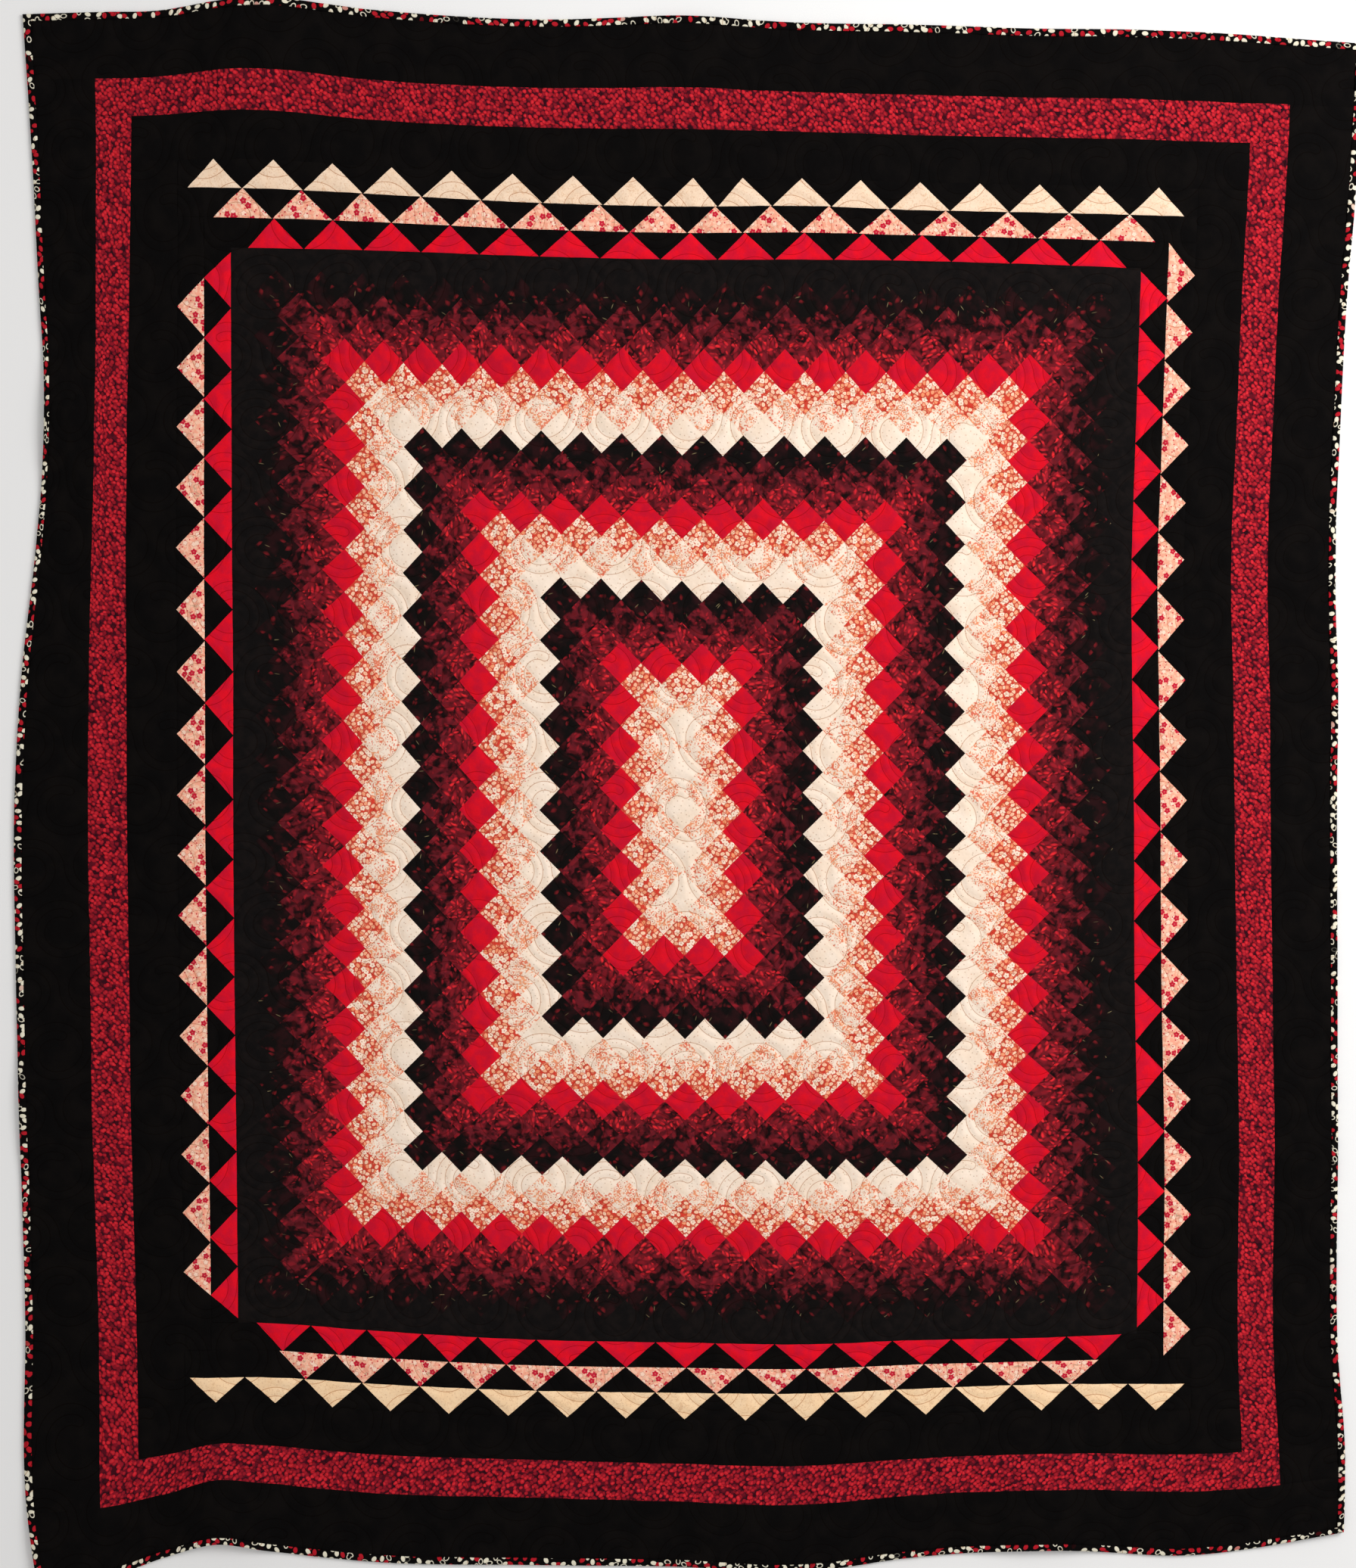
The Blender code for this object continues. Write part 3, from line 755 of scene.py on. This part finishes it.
def pink_floral(cloth, place):
    """Peach cotton with pairs of crimson five-petalled flowers, dots and thin grey vines."""
    cloud = eased(cloth, mottle(cloth, place, 0.0075, 1.0), 0.4, 0.62)
    ground = mixed(cloth, cloud, (0.95, 0.4, 0.27), (1.0, 0.58, 0.41))
    vine = band(cloth, mottle(cloth, place, 0.017, 1.0, 0.7), 0.5, 0.018)
    ground = mixed(cloth, times(cloth, vine, 0.6), ground, (0.4, 0.27, 0.17))
    x, y, _ = motifs(cloth, place, 0.017)
    away = bloom(cloth, x, y, 0.0048)
    ground = mixed(cloth, eased(cloth, away, 1.05, 0.85), ground, (1.0, 0.69, 0.53))
    ground = mixed(cloth, band(cloth, away, 0.98, 0.16), ground, (0.72, 0.34, 0.24))
    spots = dabs(cloth, place, 0.0115)
    spot = eased(cloth, spots.outputs[0], 0.14, 0.09)
    colour = mixed(cloth, spot, ground, (0.6, 0.045, 0.06))
    x, y, _ = motifs(cloth, place, 0.033, random=0.75)
    for shift in (0.0055, -0.0055):
        along = reckon(cloth, "ADD", x, shift)
        away = bloom(cloth, along, y, 0.0057)
        colour = mixed(cloth, eased(cloth, away, 1.08, 0.92), colour, (0.58, 0.014, 0.04))
        colour = mixed(cloth, eased(cloth, away, 0.3, 0.18), colour, (0.66, 0.15, 0.12))
    return colour


def vermicelli(cloth, place, pale, deep):
    """Cream with a faint wandering tan line and small tan specks."""
    ground = mixed(cloth, mottle(cloth, place, 0.03), pale, deep)
    line = band(cloth, mottle(cloth, place, 0.014, 1.0, 1.0), 0.5, 0.026)
    colour = mixed(cloth, times(cloth, line, 0.4), ground, (0.66, 0.36, 0.18))
    cell = dabs(cloth, place, 0.0075)
    speck = times(cloth, eased(cloth, cell.outputs[0], 0.2, 0.08), 0.35)
    return mixed(cloth, speck, colour, (0.6, 0.32, 0.2))


pink_cotton = cotton("pink floral cotton", pink_floral)
# The cream along the top is cooler, and the cream along the bottom yellower
CREAMS = (0.95, 0.74, 0.56), (0.9, 0.64, 0.44)
GOLDS = (1.0, 0.74, 0.48), (0.97, 0.64, 0.36)
cream_cotton = cotton("cream vermicelli cotton", vermicelli, *CREAMS)
golden_cotton = cotton("golden vermicelli cotton", vermicelli, *GOLDS)


def sewn_place(places, across, upright):
    """Places along a strip in the sewn pattern, from places as laid: the creep is taken off."""
    sewn = np.array(places, float)
    level = np.full(len(sewn), across)
    table, stations = (CREEP_UP, PLACES_ACROSS) if upright else (CREEP_RIGHT, PLACES_DOWN)
    for _ in range(CREEP_PASSES):
        sewn = places - creep(table, stations, level, sewn)
    return sewn


def strip_seams(side, round_number):
    """Out from the middle: a strip's inner seam, its outer seam and the seam past its ends."""
    upright = side in UPRIGHT
    seams, ends = (SIDE_SEAMS, END_SEAMS) if upright else (END_SEAMS, SIDE_SEAMS)
    end = ends[round_number if upright else round_number + 1]
    return seams[round_number], seams[round_number + 1], end


def closed_strip(rows, columns, split):
    """Faces of a strip's net, its walls, a coarse underside of three rows, and its two ends.

    The face's points come first, row by row, and then the underside's three rows. Where split
    is true each cell of the face is two triangles. Returns the face's arrays, then the rest.
    """
    top = np.arange(rows * columns).reshape(rows, columns)
    low = rows * columns + np.arange(3 * columns).reshape(3, columns)
    a, b, c, d = top[:-1, :-1], top[:-1, 1:], top[1:, 1:], top[1:, :-1]
    if split:
        face = [np.stack([a, b, d], -1).reshape(-1, 3), np.stack([b, c, d], -1).reshape(-1, 3)]
    else:
        face = [np.stack([a, b, c, d], -1).reshape(-1, 4)]
    under = np.stack([low[:-1, :-1], low[1:, :-1], low[1:, 1:], low[:-1, 1:]], -1).reshape(-1, 4)
    inner = np.stack([top[0, 1:], top[0, :-1], low[0, :-1], low[0, 1:]], 1)
    outer = np.stack([top[-1, :-1], top[-1, 1:], low[2, 1:], low[2, :-1]], 1)
    start = np.concatenate([top[:, 0], low[::-1, 0]])[None]
    end = np.concatenate([top[::-1, -1], low[:, -1]])[None]
    return face, [under, inner, outer, start, end]


def placed_strip(side, distance, along):
    """Pattern points of a strip, from distances out from the middle and places along it."""
    sign = OUTWARD[side]
    if side in UPRIGHT:
        return sign * distance.ravel(), along.ravel(), sign < 0
    return along.ravel(), sign * distance.ravel(), sign > 0


def strip_points(side, distance, along, height_of, rise=0.0):
    """Points of a strip: its face, at height_of(p, q), and then the three rows of its underside.

    rise is how far each row of the underside is lifted.
    """
    p, q, over = placed_strip(side, distance, along)
    low = [0, (len(distance) - 1) // 2, len(distance) - 1]
    low_p, low_q, _ = placed_strip(side, distance[low], along[low])
    rise = np.broadcast_to(rise, distance.shape)[low].ravel()
    z = np.concatenate([height_of(p, q), lifted(low_p, low_q) + rise])
    return np.concatenate([p, low_p]), np.concatenate([q, low_q]), z, over


def turned_over(faces, over):
    """The faces as they are, or with their corners in the other order."""
    return [face if over else face[:, ::-1] for face in faces]


def goose_strip(round_number, side, begins, ends, marks):
    """A strip of geese as one closed sheet, its net's lines bent to run along every seam.

    Row v of the net, from 0 at the inner seam to 1 at the tips, crosses each goose from
    left + (tip - left) * v to right + (tip - right) * v. The goose has one cell less in each row
    out, and the black beside it one more, so every row has as many cells.
    """
    name = f"{ROUNDS[round_number][0]}_{side}"
    inner, outer, strip_end = strip_seams(side, round_number)
    numbers, tips = zip(*marks)
    tips = np.interp(np.arange(numbers[-1] + 1), numbers, tips)
    draws = np.random.default_rng(len(tips) + round_number)
    jitter = draws.uniform(-GOOSE_JITTER, GOOSE_JITTER, len(tips))
    places = np.concatenate([[begins], tips + jitter, [ends]]) / 1000
    places = sewn_place(places, OUTWARD[side] * (inner + outer) / 2, side in UPRIGHT)
    tips = places[1:-1]
    joins = (tips[1:] + tips[:-1]) / 2
    left = np.concatenate([places[:1], joins + BASE_GAP / 2])
    right = np.concatenate([joins - BASE_GAP / 2, places[-1:]])
    rows = GEESE_ROWS
    v = (np.arange(rows + 1) / rows)[:, None, None]
    j = np.arange(rows + 1)[:, None, None]
    c = np.arange(rows + 1)[None, None, :]
    goose_left = (left + (tips - left) * v[:, :, 0])[:, :, None]
    goose_right = (right + (tips - right) * v[:, :, 0])[:, :, None]
    room = strip_end - right[-1] - BASE_GAP
    past_last = right[-1] + BASE_GAP + min(tips[-1] - left[-1], LAST_BLACK * room) * v
    next_left = np.concatenate([goose_left[:, 1:], past_last], 1)
    in_goose = goose_left + (goose_right - goose_left) * c / np.maximum(rows - j, 1)
    in_black = goose_right + (next_left - goose_right) * (c - (rows - j)) / (j + 1)
    along = np.where(c <= rows - j, in_goose, in_black)
    off = np.minimum(np.abs(along - goose_left), np.abs(along - goose_right))
    off = np.minimum(off, np.abs(along - next_left)).reshape(rows + 1, -1)
    along = along.reshape(rows + 1, -1)
    first_cells = max(int((tips[0] + strip_end) / END_CELL), 2)
    lead = goose_left[:, 0] + strip_end
    lead = -strip_end + lead * np.linspace(0, 1, first_cells + 1)[None, :-1]
    last_cells = max(int(room / END_CELL), 2)
    tail = past_last[:, 0]
    tail = tail + (strip_end - tail) * np.linspace(0, 1, last_cells + 1)[None, :]
    off = np.concatenate([np.abs(lead - goose_left[:, 0]), off, tail - goose_right[:, -1]], 1)
    along = np.concatenate([lead, along, tail], 1)
    columns = along.shape[1]
    out = inner + (outer - inner) * v[:, :, 0]
    distance = np.broadcast_to(out, along.shape)
    face, rest = closed_strip(rows + 1, columns, True)
    seam = np.minimum(off * SLANT, np.minimum(distance - inner, outer - distance)).ravel()
    p, q, z, over = strip_points(side, distance, along, lambda p, q: face_height(p, q, seam))
    cell_row, cell_column = np.meshgrid(np.arange(rows), np.arange(columns - 1), indexing="ij")
    unit, place = np.divmod(cell_column - first_cells, rows + 1)
    real = (unit >= 0) & (unit < len(tips))
    first_cut = CUTS_A_ROUND * round_number + CUTS_A_SIDE * len(name)
    fabrics, cuts = [], []
    for short in (1, 2):
        goose = real & (place <= rows - short - cell_row)
        fabrics.append(np.where(goose, 0, 1).ravel())
        cuts.append(np.where(goose, unit + first_cut, BLACK_CUT).ravel())
    fabrics += [np.full(len(face_set), 2 if n == 0 else 1) for n, face_set in enumerate(rest)]
    cuts += [np.zeros(len(face_set), int) for face_set in rest]
    cream = golden_cotton if side == "bottom" else cream_cotton
    materials = ((red_cotton, pink_cotton, cream)[round_number], black_cotton, backing)
    faces = turned_over(face + rest, over)
    mesh = cloth_mesh(name, p, q, z, faces, fabrics, cuts, materials)
    finished_cloth(name + "_cloth", mesh, name)


for strip in GEESE:
    goose_strip(*strip)


# Borders: a black inner border, a red printed one and a wide black outer one, each sewn on in
# four lengths, sides first and then the top and bottom. They are fuller than the panel and ripple.
BORDER_CELL = 0.0052
CUTS_A_LENGTH = 7


def red_berries(cloth, place):
    """Crowded oval red berries, each a little lighter at its middle, with dark purple between."""
    inputs = {0: place, 1: (1.0, 1.25, 1.0)}
    stretched = add(cloth, "VectorMath", inputs, operation="MULTIPLY").outputs[0]
    bent = add(cloth, "TexNoise", {"Vector": place, "Scale": 60.0}, noise_dimensions="2D")
    inputs = {0: bent.outputs["Color"], 1: (0.006, 0.006, 0.0), 2: stretched}
    stretched = add(cloth, "VectorMath", inputs, operation="MULTIPLY_ADD").outputs[0]
    cell = dabs(cloth, stretched, 0.0074, random=0.82)
    lots = lots_of(cloth, cell)
    tint = mixed(cloth, lots[0], (0.21, 0.0075, 0.017), (0.66, 0.016, 0.028))
    lit = times(cloth, eased(cloth, cell.outputs[0], 0.3, 0.05), 0.3)
    tint = mixed(cloth, times(cloth, lit, lots[0]), tint, (0.74, 0.1, 0.095))
    gap = mixed(cloth, lots[1], (0.018, 0.004, 0.008), (0.11, 0.006, 0.014))
    body = eased(cloth, cell.outputs[0], 0.62, 0.36)
    body = times(cloth, body, eased(cloth, lots[2], 0.02, 0.16))
    return mixed(cloth, body, gap, tint)


red_print = cotton("red berry cotton", red_berries)


def border_strip(round_number, side, cloth):
    """One length of a border: a net of even cells between its two seams."""
    name = f"{ROUNDS[round_number][0]}_{side}"
    inner, outer, strip_end = strip_seams(side, round_number)
    rows = int((outer - inner) / BORDER_CELL)
    columns = int(2 * strip_end / BORDER_CELL)
    out = np.linspace(inner, outer, rows + 1)
    stations = np.linspace(-strip_end, strip_end, columns + 1)
    distance, along = np.meshgrid(out, stations, indexing="ij")
    seam = np.minimum(np.minimum(distance - inner, outer - distance), strip_end - np.abs(along))
    seam = seam.ravel()
    p, q, z, over = strip_points(side, distance, along, lambda p, q: face_height(p, q, seam))
    face, rest = closed_strip(rows + 1, columns + 1, False)
    fabrics = [np.zeros(len(face[0]))] + [np.full(len(part), n == 0) for n, part in enumerate(rest)]
    cut = len(name) * CUTS_A_LENGTH + round_number
    cuts = [np.full(len(part), cut) for part in face + rest]
    faces = turned_over(face + rest, over)
    mesh = cloth_mesh(name, p, q, z, faces, fabrics, cuts, (cloth, backing))
    finished_cloth(name + "_cloth", mesh, name)


for side in OUTWARD:
    border_strip(3, side, black_cotton)
    border_strip(4, side, red_print)
    border_strip(5, side, black_cotton)


# Binding: a half inch of folded cotton round the raw edge, black with cream and red pebbles,
# machined on at the front, turned over the edge and mitred at the corners.
BINDING_ROWS = 9
BINDING_CELL = 0.006
BINDING_CROWN = 0.0068
BINDING_RIM = 0.0030
BINDING_LIFT = 0.0002
BINDING_DITCH = 0.0012
BINDING_DITCH_REACH = 0.0016
BINDING_RUMPLE = 0.0003
BINDING_RUMPLE_SIZE = 0.012
BINDING_SEED = 9
CUTS_A_BINDING = 13


def pebbles(cloth, place):
    """Cream and red ovals and thin cream rings on black."""
    x, y, lots = motifs(cloth, place, 0.0118, random=0.85)
    away = radius_of(cloth, x, y, 0.0054, 0.0037)
    pick = eased(cloth, lots[1], 0.42, 0.44)
    oval = mixed(cloth, pick, (0.8, 0.74, 0.58), (0.46, 0.012, 0.022))
    kept = eased(cloth, lots[1], 0.82, 0.8)
    share = times(cloth, eased(cloth, away, 1.08, 0.88), kept)
    colour = mixed(cloth, share, BLACK, oval)
    others = eased(cloth, lots[1], 0.82, 0.84)
    ring = times(cloth, band(cloth, away, 0.9, 0.24), others)
    return mixed(cloth, ring, colour, (0.72, 0.66, 0.52))


binding_print = cotton("pebble cotton", pebbles)


def binding_strip(side):
    """One side's binding: a fold rounded at its outer edge, with mitred ends.

    Across u, from 0 at the seam to 1 at the edge, its top is rim + (crown - rim) * (1 - u^4)^0.5
    less a ditch at the seam, and its underside rises by rim * u^6 to meet it.
    """
    name = f"binding_{side}"
    inner, outer, _ = strip_seams(side, len(ROUNDS) - 1)
    corner = (END_SEAMS if side in UPRIGHT else SIDE_SEAMS)[-2]
    width = outer - inner
    u = np.sin(np.linspace(0, np.pi / 2, BINDING_ROWS + 1))[:, None]
    columns = int(2 * corner / BINDING_CELL)
    reach = corner + u * width
    along = reach * np.linspace(-1, 1, columns + 1)[None, :]
    distance = np.broadcast_to(inner + u * width, along.shape)
    crown = BINDING_RIM + (BINDING_CROWN - BINDING_RIM) * (1 - u**4) ** 0.5
    ditch = BINDING_DITCH * np.exp(-((u * width / BINDING_DITCH_REACH) ** 2))
    fold = np.broadcast_to(crown - ditch + BINDING_LIFT, along.shape).ravel()

    def top(p, q):
        rumple = BINDING_RUMPLE * uneven(p, q, BINDING_RUMPLE_SIZE, BINDING_SEED)
        return lifted(p, q) + fold + rumple

    p, q, z, over = strip_points(side, distance, along, top, BINDING_RIM * u**6)
    face, rest = closed_strip(BINDING_ROWS + 1, columns + 1, False)
    fabrics = [np.zeros(len(part)) for part in face + rest]
    cuts = [np.full(len(part), len(name) * CUTS_A_BINDING) for part in face + rest]
    faces = turned_over(face + rest, over)
    mesh = cloth_mesh(name, p, q, z, faces, fabrics, cuts, (binding_print,))
    finished_cloth(name + "_cloth", mesh, name)


for side in OUTWARD:
    binding_strip(side)


# Floor: a plain pale floor that runs past the picture on every side.
FLOOR_HALF = 20.0
FLOOR_DROP = 0.0004
FLOOR_COLOUR = (0.86, 0.85, 0.84)
FLOOR_ROUGHNESS = 0.8
floor_mesh = bpy.data.meshes.new("floor")
corners = [(-1, -1), (1, -1), (1, 1), (-1, 1)]
corners = [(x * FLOOR_HALF, y * FLOOR_HALF, -FLOOR_DROP) for x, y in corners]
floor_mesh.from_pydata(corners, [], [(0, 1, 2, 3)])
floor_paint = bpy.data.materials.new("floor paint")
floor_paint.use_nodes = True
floor_shader = floor_paint.node_tree.nodes["Principled BSDF"]
floor_shader.inputs["Base Color"].default_value = dyed(FLOOR_COLOUR)
floor_shader.inputs["Roughness"].default_value = FLOOR_ROUGHNESS
floor_mesh.materials.append(floor_paint)
floor = bpy.data.objects.new("floor", floor_mesh)
bpy.context.scene.collection.objects.link(floor)

# Light: an even sky with one large soft lamp from the upper right, which shows the quilting.
SKY = 0.58
LAMP_AT = (3.0, 1.6, 3.1)
LAMP_POWER = 152.0
LAMP_SIZE = 2.4
world = bpy.data.worlds.new("studio")
world.use_nodes = True
sky = world.node_tree.nodes["Background"]
sky.inputs["Color"].default_value = (1.0, 1.0, 1.0, 1.0)
sky.inputs["Strength"].default_value = SKY
bpy.context.scene.world = world
lamp_data = bpy.data.lights.new("lamp", "AREA")
lamp_data.energy = LAMP_POWER
lamp_data.size = LAMP_SIZE
lamp = bpy.data.objects.new("lamp", lamp_data)
lamp.location = LAMP_AT
lamp.rotation_euler = (-lamp.location).to_track_quat("-Z", "Y").to_euler()
bpy.context.scene.collection.objects.link(lamp)

# Camera: straight above, as the photograph is taken square to the quilt.
METRES_A_PIXEL = 0.001318
IMAGE_HEIGHT = 2072
CAMERA_HEIGHT = 4.7
CAMERA_OVER = (-0.0185, 0.0100)
camera_data = bpy.data.cameras.new("camera")
camera_data.sensor_width = 36.0
camera_data.lens = camera_data.sensor_width * CAMERA_HEIGHT / (METRES_A_PIXEL * IMAGE_HEIGHT)
camera = bpy.data.objects.new("camera", camera_data)
camera.location = (*CAMERA_OVER, CAMERA_HEIGHT)
bpy.context.scene.collection.objects.link(camera)
bpy.context.scene.camera = camera
bpy.context.scene.view_settings.view_transform = "Standard"
